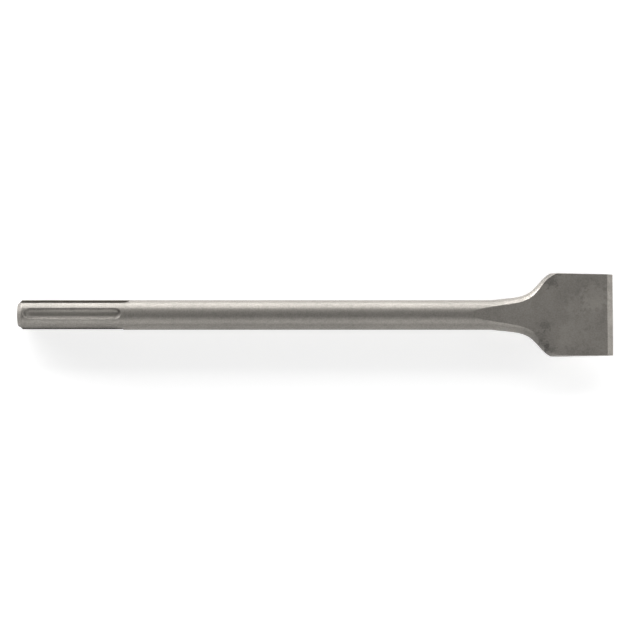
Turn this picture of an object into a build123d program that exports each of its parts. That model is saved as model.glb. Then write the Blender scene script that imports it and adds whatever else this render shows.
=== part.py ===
"""Flat chisel for a hammer with a slotted 18 mm shank, forged in one piece from round bar.

The tool lies along +X: the struck end is at x = 0 on the bar's axis and the cutting edge is at
x = overall_length. The blade is wide along Y and thin along Z. All sizes are in millimetres.
"""

import os
from math import asin, cos, degrees, radians, sin, sqrt, tan

from build123d import *

# Bar, which is the shank and the shaft
overall_length = 360.0
bar_diameter = 18.0
struck_end_crown_radius = 40.0
end_chamfer = 2.6
end_corner_radius = 0.8

# Locking grooves, one towards each broad face of the blade, closed at both ends
lock_groove_start = 5.0
lock_groove_end = 63.2
lock_groove_depth = 2.2
lock_cutter_radius = 4.5
lead_in_start = 3.9
lead_in_depth = 1.2

# Drive slots, open at the struck end: a pair towards one narrow side and a single one opposite
slot_depth = 2.0
pair_slot_width = 4.7
pair_slot_pitch = 7.46
pair_slot_length = 63.4
pair_run_out_radius = 8.0
single_slot_width = 6.0
single_slot_length = 60.4
single_run_out_radius = 5.0
rim_radius = 0.3

# Blade
blade_width = 50.0
side_taper = 0.45
edge_thickness = 4.2
edge_land = 0.4
bevel_half_angle = 28.5

# Flare from the bar to the blade, with its distances measured back from the cutting edge
wedge_length = 86.0
flare_length = 74.0
neck_distance = 51.0
neck_swell = 2.4
flare_slope = 51.0
neck_radius = 20.6
shoulder_radius = 20.5
forged_overwidth = 2.75
neck_crown_height = 8.4
shoulder_crown_height = 12.0
flare_sections = 13

# Cutting shapes reach this far past the surfaces that they cut
overcut = 6.0

# Places along the tool
bar_radius = bar_diameter / 2
end_crown_sag = struck_end_crown_radius - sqrt(struck_end_crown_radius**2 - (bar_radius - end_chamfer) ** 2)
edge_x = overall_length
bevel_length = (edge_thickness - edge_land) / 2 / tan(radians(bevel_half_angle))
bevel_start_x = edge_x - bevel_length
wedge_tip_x = edge_x - wedge_length
flare_start_x = edge_x - flare_length
neck_x = edge_x - neck_distance
neck_half_width = bar_radius + neck_swell
forged_half_width = blade_width / 2 + forged_overwidth
forged_reach = forged_half_width + overcut
shoulder_x = neck_x + (forged_half_width - neck_half_width) / tan(radians(flare_slope))
shoulder_end_x = shoulder_x + shoulder_radius * tan(radians(flare_slope / 2))
trim_start_x = shoulder_end_x - sqrt(shoulder_radius**2 - (shoulder_radius - forged_overwidth) ** 2)
trim_slope = side_taper / (edge_x - trim_start_x)

# Where the shank's cutters run
lock_ball_reach = sqrt(lock_cutter_radius**2 - (lock_cutter_radius - lock_groove_depth) ** 2)
lock_first_x = lock_groove_start + lock_ball_reach
lock_last_x = lock_groove_end - lock_ball_reach
lock_height = bar_radius - lock_groove_depth + lock_cutter_radius
lead_in_x = lead_in_start + sqrt(lock_cutter_radius**2 - (lock_cutter_radius - lead_in_depth) ** 2)
lead_in_height = bar_radius - lead_in_depth + lock_cutter_radius
slot_floor = bar_radius - slot_depth
slots_end_x = pair_slot_length + pair_run_out_radius
pair_slot = (pair_slot_width, pair_slot_length, pair_run_out_radius)
single_slot = (single_slot_width, single_slot_length, single_run_out_radius)
pair_slot_angle = degrees(asin(pair_slot_pitch / bar_diameter))
drive_slots = {pair_slot_angle: pair_slot, -pair_slot_angle: pair_slot, 180: single_slot}


def slot_plane(angle):
    """The plane through the bar's axis whose second direction points out at this angle from +Y."""
    turn = radians(angle)
    return Plane(origin=(0, 0, 0), x_dir=(1, 0, 0), z_dir=(0, -sin(turn), cos(turn)))


def on_shank(edge):
    """Whether an edge lies on the shank's round surface all along."""
    points = [edge.position_at(share) for share in (0.1, 0.5, 0.9)]
    on_bar = all(abs(sqrt(point.Y**2 + point.Z**2) - bar_radius) < 0.01 for point in points)
    return on_bar and edge.center().X < slots_end_x


def crown_height(x):
    """Half the forged blank's height at x, before its two faces are pressed flat."""
    if x < neck_x:
        share = (x - flare_start_x) / (neck_x - flare_start_x)
        return bar_radius + share * (neck_crown_height - bar_radius)
    share = min((x - neck_x) / (shoulder_x - neck_x), 1.0)
    return neck_crown_height + share**2 * (shoulder_crown_height - neck_crown_height)


# Half of the bar's profile, from the crowned struck end to the start of the flare
with BuildSketch(Plane.XY) as bar_profile:
    with BuildLine():
        crown = RadiusArc((0, 0), (end_crown_sag, bar_radius - end_chamfer), struck_end_crown_radius)
        Polyline(
            crown @ 1,
            (end_crown_sag + end_chamfer, bar_radius),
            (flare_start_x, bar_radius),
            (flare_start_x, 0),
            (0, 0),
        )
    make_face()
    end_corners = bar_profile.vertices().sort_by(Axis.X)[1:3]
    fillet(end_corners, end_corner_radius)

# Plan outline of the forged flare on the tool's middle plane, one side
with BuildLine() as flare_outline:
    FilletPolyline(
        (flare_start_x, bar_radius),
        (neck_x, neck_half_width),
        (shoulder_x, forged_half_width),
        (edge_x + overcut, forged_half_width),
        radius=(neck_radius, shoulder_radius),
    )

flare_wire = flare_outline.wire()
flare_points = [flare_wire.position_at(step / flare_sections) for step in range(flare_sections + 1)]

# What a ball-nosed cutter sweeps along a locking groove, with the shallower dip that leads into it
with BuildPart() as lock_cutter:
    with BuildSketch(Plane.XZ):
        with BuildLine():
            first_end = CenterArc((lock_first_x, lock_height), lock_cutter_radius, 90, 90)
            last_end = CenterArc((lock_last_x, lock_height), lock_cutter_radius, 0, 90)
            Line(first_end @ 0, last_end @ 1)
            Line(first_end @ 1, last_end @ 0)
        make_face()
    revolve(axis=Axis((0, 0, lock_height), (1, 0, 0)))
    with Locations((lead_in_x, 0, lead_in_height)):
        Sphere(lock_cutter_radius)

with BuildPart() as chisel:
    # The bar, and the flare that is forged out of its end
    revolve(bar_profile.sketch, axis=Axis.X)
    for point in flare_points:
        with BuildSketch(Plane.YZ.offset(point.X)):
            Ellipse(point.Y, crown_height(point.X))
    loft()

    # The two pressed faces of the wedge and the two ground bevels
    with BuildSketch(Plane.XZ):
        with BuildLine():
            Polyline(
                (wedge_tip_x, bar_radius),
                (bevel_start_x, edge_thickness / 2),
                (edge_x, edge_land / 2),
                (edge_x, -edge_land / 2),
                (bevel_start_x, -edge_thickness / 2),
                (wedge_tip_x, -bar_radius),
                (wedge_tip_x, -forged_reach),
                (edge_x + 2 * overcut, -forged_reach),
                (edge_x + 2 * overcut, forged_reach),
                (wedge_tip_x, forged_reach),
                close=True,
            )
        make_face()
    extrude(amount=forged_reach, both=True, mode=Mode.SUBTRACT)

    # The two trimmed sides of the blade
    for side in (1, -1):
        with BuildSketch(Plane.XY):
            with BuildLine():
                Polyline(
                    (trim_start_x - overcut, side * (blade_width / 2 + overcut * trim_slope)),
                    (edge_x + overcut, side * (blade_width / 2 - side_taper - overcut * trim_slope)),
                    (edge_x + overcut, side * forged_reach),
                    (trim_start_x - overcut, side * forged_reach),
                    close=True,
                )
            make_face()
        extrude(amount=forged_reach, both=True, mode=Mode.SUBTRACT)

    # Locking grooves on two opposite sides
    for turn in (0, 180):
        with Locations(Location((0, 0, 0), (turn, 0, 0))):
            add(lock_cutter.part, mode=Mode.SUBTRACT)
        rim = [edge for edge in chisel.edges(Select.LAST) if on_shank(edge)]
        fillet(rim, rim_radius)

    # Drive slots, each running out in the arc of its disc cutter
    for angle, (width, length, run_out_radius) in drive_slots.items():
        with BuildSketch(slot_plane(angle)):
            with Locations((-overcut, slot_floor)):
                Rectangle(length + overcut, overcut, align=(Align.MIN, Align.MIN))
            with Locations((length, slot_floor + run_out_radius)):
                Circle(run_out_radius)
        extrude(amount=width / 2, both=True, mode=Mode.SUBTRACT)
        long_rims = [edge for edge in chisel.edges(Select.LAST).filter_by(Axis.X) if on_shank(edge)]
        fillet(long_rims, rim_radius)

os.makedirs("parts", exist_ok=True)
chisel.part.label = "chisel"
export_step(chisel.part, "parts/chisel.step")
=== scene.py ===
"""Looks of the flat chisel: its shot-blasted steel finish, a pale studio floor, soft light and the camera."""

import logging
import math
from dataclasses import dataclass
from enum import Enum

import bpy
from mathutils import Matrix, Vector


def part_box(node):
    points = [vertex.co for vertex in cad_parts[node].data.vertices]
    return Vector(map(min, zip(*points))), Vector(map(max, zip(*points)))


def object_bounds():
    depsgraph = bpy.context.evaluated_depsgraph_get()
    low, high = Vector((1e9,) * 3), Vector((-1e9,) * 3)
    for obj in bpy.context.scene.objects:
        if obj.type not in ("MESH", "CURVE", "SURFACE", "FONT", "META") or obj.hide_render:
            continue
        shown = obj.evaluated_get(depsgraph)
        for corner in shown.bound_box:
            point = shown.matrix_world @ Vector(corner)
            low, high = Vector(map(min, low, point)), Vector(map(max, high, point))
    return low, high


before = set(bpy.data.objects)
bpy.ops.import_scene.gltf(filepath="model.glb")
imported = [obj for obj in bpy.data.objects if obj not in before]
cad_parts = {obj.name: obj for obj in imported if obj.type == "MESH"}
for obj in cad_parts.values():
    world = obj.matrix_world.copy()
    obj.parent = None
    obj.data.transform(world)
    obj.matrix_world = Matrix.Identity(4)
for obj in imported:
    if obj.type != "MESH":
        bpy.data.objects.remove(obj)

log = logging.getLogger("flat_chisel")

MM = 0.001
CAD_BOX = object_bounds()
WITHOUT_X = (0, 1, 1)
WITHOUT_Z = (1, 1, 0)


def linear(hex_colour: str) -> tuple[float, float, float, float]:
    """Turn an sRGB hex colour into the linear values that a shader socket takes.

    Args:
        hex_colour: Six hex digits, such as "8b8781".

    Returns:
        Red, green, blue and an alpha of one.
    """
    parts = [int(hex_colour[at : at + 2], 16) / 255 for at in (0, 2, 4)]
    red, green, blue = (
        part / 12.92 if part <= 0.04045 else ((part + 0.055) / 1.055) ** 2.4 for part in parts
    )
    return red, green, blue, 1.0


def add_node(
    tree: bpy.types.NodeTree, kind: str, inputs: dict[str | int, object] | None = None, **settings: object
) -> bpy.types.Node:
    """Add one shader node with its settings and with what goes into its sockets.

    Args:
        tree: The node tree that it goes into.
        kind: Blender's name for the node's type, without "ShaderNode" in front.
        inputs: Another node's output or a fixed value for each socket, by the socket's name or number.
        settings: Properties of the node itself.

    Returns:
        The new node.
    """
    node = tree.nodes.new("ShaderNode" + kind)
    for name, setting in settings.items():
        setattr(node, name, setting)
    for name, value in (inputs or {}).items():
        if isinstance(value, bpy.types.NodeSocket):
            tree.links.new(value, node.inputs[name])
        else:
            node.inputs[name].default_value = value
    return node


@dataclass(frozen=True)
class Pattern:
    """Random pattern of a real size, with finer octaves in it that each weigh a share of the one before."""

    size_mm: float
    octaves: float = 3.0
    finer_share: float = 0.55

    def sockets(self) -> dict[str, float]:
        """Give what goes into the sockets of a Noise Texture node."""
        return {"Scale": 1 / (self.size_mm * MM), "Detail": self.octaves, "Roughness": self.finer_share}


@dataclass(frozen=True)
class Fade:
    """Smooth change from a first result to a last one, while a value goes from a start to an end.

    The start and the end are in mm, unless another unit is given.
    """

    start: float
    end: float
    first: float
    last: float
    unit: float = MM

    def sockets(self) -> dict[str, float]:
        """Give what goes into the sockets of a Map Range node."""
        limits = {"From Min": self.start * self.unit, "From Max": self.end * self.unit}
        return limits | {"To Min": self.first, "To Max": self.last}


def faded(tree: bpy.types.NodeTree, *steps: tuple[bpy.types.NodeSocket, Fade]) -> bpy.types.NodeSocket:
    """Let one or more values fade, and multiply the results.

    Args:
        tree: The material's node tree.
        steps: Each value with the fade that follows it.

    Returns:
        The product.
    """
    product = None
    for value, fade in steps:
        sockets = {"Value": value, **fade.sockets()}
        result = add_node(tree, "MapRange", sockets, interpolation_type="SMOOTHSTEP").outputs["Result"]
        if product is not None:
            result = add_node(tree, "Math", {0: product, 1: result}, operation="MULTIPLY").outputs[0]
        product = result
    return product


class Bearing(Enum):
    """Level direction from the tool towards a lamp."""

    PAIR_SLOTS = (0, 1)
    SINGLE_SLOT = (0, -1)
    CUTTING_EDGE = (1, 0)
    SHOULDER = (-1, 1)


@dataclass(frozen=True)
class PaintedSpot:
    """Round patch on the blade's faces: painted shade where it darkens the colour, a painted reflection where
    it lightens it.
    """

    x_mm: float
    y_mm: float
    radius_mm: float
    change: float


@dataclass(frozen=True)
class HolderRubs:
    """Short bright rubs along the shank, where a tool holder has gripped it.

    The marks follow a pattern that is drawn out along the tool, and end past the gripped length.
    """

    pattern: Pattern = Pattern(1.6, 2.0)
    drawn_out: tuple[float, float, float] = (0.25, 1, 1)
    marks: Fade = Fade(0.6, 0.7, 0.0, 0.16, unit=1.0)
    gripped: Fade = Fade(64.0, 88.0, 1.0, 0.0)

    def change(self, tree: bpy.types.NodeTree, place: bpy.types.NodeSocket) -> bpy.types.NodeSocket:
        """Add the rubs.

        Args:
            tree: The material's node tree.
            place: Where on the tool, in metres.

        Returns:
            The share by which the colour changes.
        """
        drawn = add_node(tree, "VectorMath", {0: place, 1: self.drawn_out}, operation="MULTIPLY")
        noise = add_node(tree, "TexNoise", {"Vector": drawn.outputs["Vector"], **self.pattern.sockets()})
        along = add_node(tree, "SeparateXYZ", {"Vector": place}).outputs["X"]
        return faded(tree, (noise.outputs["Fac"], self.marks), (along, self.gripped))


@dataclass(frozen=True)
class GrooveFloorsAndPaintedShade:
    """Bare milled floors of the shank's grooves, painted lighter to lift their shade, and painted shade on
    their steep walls and round the single slot.

    The walls and the mouth follow the distance from the tool's axis, and the single slot the height off its
    middle plane. The sides run along Y, and the starts and ends along X.
    """

    # The floors are painted lighter against the grooves' shade, and the walls near the rims painted darker as
    # shade
    walls: Fade = Fade(7.0, 8.1, 0.22, -0.32)
    mouth: Fade = Fade(8.75, 8.88, 1.0, 0.0)
    start: Fade = Fade(3.8, 5.0, 0.0, 1.0)
    end: Fade = Fade(70.0, 72.0, 1.0, 0.0)
    pair_side: Fade = Fade(4.0, 5.5, 1.0, 0.1)
    # Painted shade on the single slot and on the bar's flank round it
    single_slot: Fade = Fade(3.4, 6.3, -0.5, 0.0)
    single_side: Fade = Fade(-6.9, -6.1, 1.0, 0.0)
    single_end: Fade = Fade(56.0, 66.0, 1.0, 0.0)

    def change(self, tree: bpy.types.NodeTree, place: bpy.types.NodeSocket) -> bpy.types.NodeSocket:
        """Add the lighter floors and the painted shade.

        Args:
            tree: The material's node tree.
            place: Where on the tool, in metres.

        Returns:
            The share by which the colour changes.
        """
        axes = add_node(tree, "SeparateXYZ", {"Vector": place}).outputs
        across = add_node(tree, "VectorMath", {0: place, 1: WITHOUT_X}, operation="MULTIPLY").outputs[0]
        radius = add_node(tree, "VectorMath", {0: across}, operation="LENGTH").outputs["Value"]
        height = add_node(tree, "Math", {0: axes["Z"]}, operation="ABSOLUTE").outputs[0]
        grooves = faded(
            tree,
            (radius, self.walls),
            (radius, self.mouth),
            (axes["X"], self.start),
            (axes["X"], self.end),
            (axes["Y"], self.pair_side),
        )
        single = faded(
            tree, (height, self.single_slot), (axes["Y"], self.single_side), (axes["X"], self.single_end)
        )
        return add_node(tree, "Math", {0: grooves, 1: single}, operation="ADD").outputs[0]


@dataclass(frozen=True)
class BlastedSteel:
    """Forged tool steel, shot-blasted to an even satin grey.

    Blasting leaves fine overlapping dents, so reflections are broad and soft, and the forging scale that it
    doesn't quite clear leaves small, slightly darker, duller flecks. The larger patches on the blade's faces,
    mostly by its shoulders, are painted: the darker ones are painted shade along the faces' borders, the
    lighter ones painted reflections. Each pattern has a fade from its noise to the share by which it changes
    the colour, of which the drift shows less on the bar than on the blade. A spot is whole up to one share of
    its radius, its core, and gone at another, its rim. Where the colour is darker, the surface is rougher.
    """

    name: str = "shot_blasted_forged_steel"
    colour: str = "8b8781"
    metallic: float = 0.5
    roughness: float = 0.42
    roughness_per_change: float = -0.3

    drift_pattern: Pattern = Pattern(26.0)
    drift: Fade = Fade(0.3, 0.7, -0.15, 0.15, unit=1.0)
    drift_along: Fade = Fade(274.0, 310.0, 0.25, 1.0)
    scale_pattern: Pattern = Pattern(3.2)
    scale: Fade = Fade(0.5, 0.6, 0.0, -0.07, unit=1.0)
    grain_pattern: Pattern = Pattern(0.9, 1.0)
    grain: Fade = Fade(0.25, 0.75, -0.1, 0.1, unit=1.0)

    # Darker spots are painted shade along the faces' borders by the shoulders, lighter ones painted
    # reflections
    painted_spots: tuple[PaintedSpot, ...] = (
        PaintedSpot(322.0, 21.2, 5.6, -0.46),
        PaintedSpot(321.8, -22.3, 4.0, -0.26),
        PaintedSpot(318.6, -18.6, 3.2, -0.22),
        PaintedSpot(316.6, -14.2, 3.0, -0.15),
        PaintedSpot(318.5, -6.2, 3.8, -0.3),
        PaintedSpot(349.0, 11.0, 9.0, 0.25),
        PaintedSpot(338.0, 5.5, 6.5, 0.13),
        PaintedSpot(335.0, -13.0, 9.0, 0.1),
    )
    spot_ragged: Fade = Fade(0.3, 0.7, -2.5 * MM, 2.5 * MM, unit=1.0)
    spot_core: float = 0.55
    spot_rim: float = 1.15

    # Real blasting dents, and the grain that they give the colour, are about 0.2 mm across, which the picture
    # can't show, so both are drawn coarser
    dent_pattern: Pattern = Pattern(0.9)
    dent_depth_mm: float = 0.05
    hammered_pattern: Pattern = Pattern(7.0, 1.0)
    hammered_depth_mm: float = 0.02

    worn_edge_mm: float = 0.5
    worn_edge_samples: int = 6
    crown_radius_mm: float = 40.0
    crown_middle: Fade = Fade(2.5, 4.0, 1.0, 0.0)

    rubs: HolderRubs = HolderRubs()
    # Lighter groove floors, and painted shade in the grooves and round the single slot
    floors_and_painted_shade: GrooveFloorsAndPaintedShade = GrooveFloorsAndPaintedShade()

    def material(self) -> bpy.types.Material:
        """Build the material.

        Returns:
            A metal whose colour and roughness drift over centimetres and whose dents are under a millimetre.
        """
        material = bpy.data.materials.new(self.name)
        material.use_nodes = True
        tree = material.node_tree
        tree.nodes.clear()
        place = add_node(tree, "TexCoord").outputs["Object"]
        change = self.colour_change(tree, place)
        light = add_node(tree, "Math", {0: change, 1: 1.0}, operation="ADD").outputs[0]
        colour = {0: linear(self.colour)[:3], "Scale": light}
        tint = add_node(tree, "VectorMath", colour, operation="SCALE").outputs["Vector"]
        terms = {0: change, 1: self.roughness_per_change, 2: self.roughness}
        gloss = add_node(tree, "Math", terms, operation="MULTIPLY_ADD").outputs[0]
        normal = self.dented(tree, place)
        sockets = {"Base Color": tint, "Metallic": self.metallic, "Roughness": gloss, "Normal": normal}
        shader = add_node(tree, "BsdfPrincipled", sockets)
        add_node(tree, "OutputMaterial", {"Surface": shader.outputs["BSDF"]})
        return material

    def colour_change(self, tree: bpy.types.NodeTree, place: bpy.types.NodeSocket) -> bpy.types.NodeSocket:
        """Add up all that makes the steel darker or lighter.

        Args:
            tree: The material's node tree.
            place: Where on the tool, in metres.

        Returns:
            The share by which the colour changes.
        """
        slow, fine, finest = (
            add_node(tree, "TexNoise", {"Vector": place, **pattern.sockets()}).outputs["Fac"]
            for pattern in (self.drift_pattern, self.scale_pattern, self.grain_pattern)
        )
        along = add_node(tree, "SeparateXYZ", {"Vector": place}).outputs["X"]
        total = faded(tree, (slow, self.drift), (along, self.drift_along))
        for change in (
            faded(tree, (fine, self.scale)),
            faded(tree, (finest, self.grain)),
            # Painted shade and painted reflections on the blade's faces
            self.painted_spot_change(tree, place, fine),
            self.rubs.change(tree, place),
            # Lighter groove floors, and painted shade in the grooves and round the single slot
            self.floors_and_painted_shade.change(tree, place),
        ):
            total = add_node(tree, "Math", {0: total, 1: change}, operation="ADD").outputs[0]
        return total

    def painted_spot_change(
        self, tree: bpy.types.NodeTree, place: bpy.types.NodeSocket, noise: bpy.types.NodeSocket
    ) -> bpy.types.NodeSocket:
        """Add up the painted shade and painted reflections on the blade's faces, with ragged borders.

        Args:
            tree: The material's node tree.
            place: Where on the tool, in metres.
            noise: What breaks up the borders.

        Returns:
            The share by which the colour changes.
        """
        flat = add_node(tree, "VectorMath", {0: place, 1: WITHOUT_Z}, operation="MULTIPLY").outputs[0]
        ragged = faded(tree, (noise, self.spot_ragged))
        total = 0.0
        for spot in self.painted_spots:
            centre = (spot.x_mm * MM, spot.y_mm * MM, 0)
            away = add_node(tree, "VectorMath", {0: flat, 1: centre}, operation="DISTANCE").outputs["Value"]
            reach = add_node(tree, "Math", {0: away, 1: ragged}, operation="ADD").outputs[0]
            fade = Fade(self.spot_core * spot.radius_mm, self.spot_rim * spot.radius_mm, spot.change, 0.0)
            change = faded(tree, (reach, fade))
            total = add_node(tree, "Math", {0: total, 1: change}, operation="ADD").outputs[0]
        return total

    def dented(self, tree: bpy.types.NodeTree, place: bpy.types.NodeSocket) -> bpy.types.NodeSocket:
        """Dent the surface finely, as blasting does, and broadly, as the forging hammer does.

        Args:
            tree: The material's node tree.
            place: Where on the tool, in metres.

        Returns:
            The normal that the shader takes.
        """
        height = 0.0
        for pattern, depth_mm in (
            (self.dent_pattern, self.dent_depth_mm),
            (self.hammered_pattern, self.hammered_depth_mm),
        ):
            noise = add_node(tree, "TexNoise", {"Vector": place, **pattern.sockets()}).outputs["Fac"]
            terms = {0: noise, 1: depth_mm * MM, 2: height}
            height = add_node(tree, "Math", terms, operation="MULTIPLY_ADD").outputs[0]
        normal = self.mended(tree, place)
        sockets = {"Strength": 1.0, "Distance": 1.0, "Height": height, "Normal": normal}
        return add_node(tree, "Bump", sockets).outputs["Normal"]

    def mended(self, tree: bpy.types.NodeTree, place: bpy.types.NodeSocket) -> bpy.types.NodeSocket:
        """Soften the edges, and mend the middle of the struck end's crown.

        A sliver without area skews the mesh's own normals there, so they are taken from the ball that the
        crown is a part of.

        Args:
            tree: The material's node tree.
            place: Where on the tool, in metres.

        Returns:
            The normal before the dents.
        """
        edges = {"Radius": self.worn_edge_mm * MM}
        worn = add_node(tree, "Bevel", edges, samples=self.worn_edge_samples).outputs["Normal"]
        centre = (self.crown_radius_mm * MM, 0, 0)
        outwards = add_node(tree, "VectorMath", {0: place, 1: centre}, operation="SUBTRACT").outputs["Vector"]
        turned = add_node(
            tree,
            "VectorTransform",
            {"Vector": outwards},
            vector_type="NORMAL",
            convert_from="OBJECT",
            convert_to="WORLD",
        ).outputs["Vector"]
        crown = add_node(tree, "VectorMath", {0: turned}, operation="NORMALIZE").outputs["Vector"]
        reach = add_node(tree, "VectorMath", {0: place}, operation="LENGTH").outputs["Value"]
        share = faded(tree, (reach, self.crown_middle))
        step = add_node(tree, "VectorMath", {0: crown, 1: worn}, operation="SUBTRACT").outputs["Vector"]
        part = add_node(tree, "VectorMath", {0: step, "Scale": share}, operation="SCALE").outputs["Vector"]
        return add_node(tree, "VectorMath", {0: worn, 1: part}, operation="ADD").outputs["Vector"]


@dataclass(frozen=True)
class PaleFloor:
    """Matt white studio floor, which shows as white and still takes the tool's shadow."""

    name: str = "matt_white_floor"
    colour: str = "f4f4f4"
    roughness: float = 0.9
    glow: str = "ffffff"
    lift: float = 0.45

    def material(self) -> bpy.types.Material:
        """Build the material.

        Returns:
            A matt white that glows a little for the camera and for reflections.
        """
        material = bpy.data.materials.new(self.name)
        material.use_nodes = True
        tree = material.node_tree
        tree.nodes.clear()
        path = add_node(tree, "LightPath").outputs
        rays = {0: path["Is Camera Ray"], 1: path["Is Glossy Ray"]}
        seen = add_node(tree, "Math", rays, operation="ADD").outputs[0]
        rays = {0: seen, 1: path["Is Transmission Ray"]}
        seen = add_node(tree, "Math", rays, operation="ADD", use_clamp=True).outputs[0]
        strength = add_node(tree, "Math", {0: seen, 1: self.lift}, operation="MULTIPLY").outputs[0]
        shader = add_node(
            tree,
            "BsdfPrincipled",
            {
                "Base Color": linear(self.colour),
                "Roughness": self.roughness,
                "Emission Color": linear(self.glow),
                "Emission Strength": strength,
            },
        )
        add_node(tree, "OutputMaterial", {"Surface": shader.outputs["BSDF"]})
        return material


@dataclass
class Chisel:
    """The whole tool, one piece of forged steel."""

    node: str = "chisel"
    finish: BlastedSteel = BlastedSteel()

    def dress(self) -> bpy.types.Object:
        """Give the forged solid its finish.

        Returns:
            The tool's object.
        """
        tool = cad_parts[self.node]
        tool.data.materials.clear()
        tool.data.materials.append(self.finish.material())
        low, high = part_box(self.node)
        length, width = (high[axis] - low[axis] for axis in (0, 1))
        log.info("%s: %.1f mm long, %.1f mm wide", self.node, length / MM, width / MM)
        return tool


@dataclass(frozen=True)
class SoftBox:
    """Soft lamp with a bearing, degrees above the horizon, a size, and a radiance where 1 looks white."""

    name: str
    bearing: Bearing
    elevation: float
    width_mm: float
    height_mm: float
    radiance: float
    distance_mm: float = 2000.0


@dataclass
class Studio:
    """Floor, soft lamps, world and camera."""

    floor_side_mm: float = 6000.0
    lens_mm: float = 200.0
    sensor_mm: float = 36.0
    sight_mm: float = 20000.0
    view_width_mm: float = 380.7
    view_centre_mm: float = 180.0
    camera_elevation: float = 84.7
    ambient: float = 0.03
    ambient_colour: str = "ffffff"
    lamps: tuple[SoftBox, ...] = (
        SoftBox("lamp_bright_side", Bearing.PAIR_SLOTS, 3, 4500, 350, 12.0),
        SoftBox("lamp_bright_side_high", Bearing.PAIR_SLOTS, 24, 4500, 600, 4.6),
        SoftBox("lamp_behind_shoulder", Bearing.SHOULDER, 5, 1600, 500, 18.0),
        SoftBox("lamp_fill", Bearing.SINGLE_SLOT, 29, 4000, 1000, 2.1),
        SoftBox("lamp_fill_high", Bearing.SINGLE_SLOT, 56, 4000, 500, 1.2),
        SoftBox("lamp_edge_end", Bearing.CUTTING_EDGE, 12, 2000, 800, 3.8),
        SoftBox("lamp_overhead", Bearing.SINGLE_SLOT, 90, 3000, 900, 0.4, 2600.0),
    )

    def lay_floor(self) -> bpy.types.Object:
        """Lay the floor under the tool.

        Returns:
            The floor, which isn't part of the object.
        """
        bpy.ops.object.select_all(action="DESELECT")
        bpy.ops.mesh.primitive_plane_add(size=self.floor_side_mm * MM)
        floor = bpy.context.object
        floor.name = "studio_floor"
        low, _ = CAD_BOX
        floor.location = (self.view_centre_mm * MM, 0, low[2])
        floor.data.materials.append(PaleFloor().material())
        return floor

    def light_world(self) -> None:
        """Fill the room with an even dim light."""
        world = bpy.data.worlds.new("studio_room")
        bpy.context.scene.world = world
        world.use_nodes = True
        background = world.node_tree.nodes["Background"]
        background.inputs["Color"].default_value = linear(self.ambient_colour)
        background.inputs["Strength"].default_value = self.ambient

    def hang_lamp(self, box: SoftBox) -> bpy.types.Object:
        """Hang one soft box that faces the tool's middle, with its width level.

        Args:
            box: The soft box.

        Returns:
            The lamp.
        """
        data = bpy.data.lights.new(box.name, "AREA")
        data.shape = "RECTANGLE"
        data.size, data.size_y = box.width_mm * MM, box.height_mm * MM
        # A flat lamp gives out pi times its radiance from each square metre
        data.energy = box.radiance * math.pi * data.size * data.size_y
        lamp = bpy.data.objects.new(box.name, data)
        bpy.context.collection.objects.link(lamp)
        lamp.visible_camera = False
        angle = math.radians(box.elevation)
        level = Vector((*box.bearing.value, 0)).normalized()
        away = level * math.cos(angle) + Vector((0, 0, math.sin(angle)))
        lamp.location = Vector((self.view_centre_mm * MM, 0, 0)) + away * box.distance_mm * MM
        lamp.rotation_euler = away.to_track_quat("Z", "Y").to_euler()
        return lamp

    def set_camera(self) -> bpy.types.Object:
        """Look down on the tool's broad face with a long lens.

        Returns:
            The camera.
        """
        data = bpy.data.cameras.new("camera")
        data.lens = self.lens_mm
        data.sensor_width = self.sensor_mm
        data.clip_end = self.sight_mm * MM
        camera = bpy.data.objects.new("camera", data)
        bpy.context.collection.objects.link(camera)
        angle = math.radians(self.camera_elevation)
        back = Vector((0, -math.cos(angle), math.sin(angle)))
        distance = self.view_width_mm * self.lens_mm / self.sensor_mm * MM
        camera.location = Vector((self.view_centre_mm * MM, 0, 0)) + back * distance
        camera.rotation_mode = "QUATERNION"
        camera.rotation_quaternion = (-back).to_track_quat("-Z", "Y")
        bpy.context.scene.camera = camera
        return camera

    def build(self) -> None:
        """Set up the camera, the floor and the light."""
        self.set_camera()
        self.lay_floor()
        self.light_world()
        for box in self.lamps:
            self.hang_lamp(box)
        bpy.context.scene.view_settings.view_transform = "Standard"
        log.info("studio: camera, floor and %d soft boxes", len(self.lamps))


def main() -> None:
    """Dress the tool and set up the studio round it."""
    logging.basicConfig(level=logging.INFO, format="%(name)s: %(message)s")
    Chisel().dress()
    Studio().build()


if __name__ == "__main__":
    main()
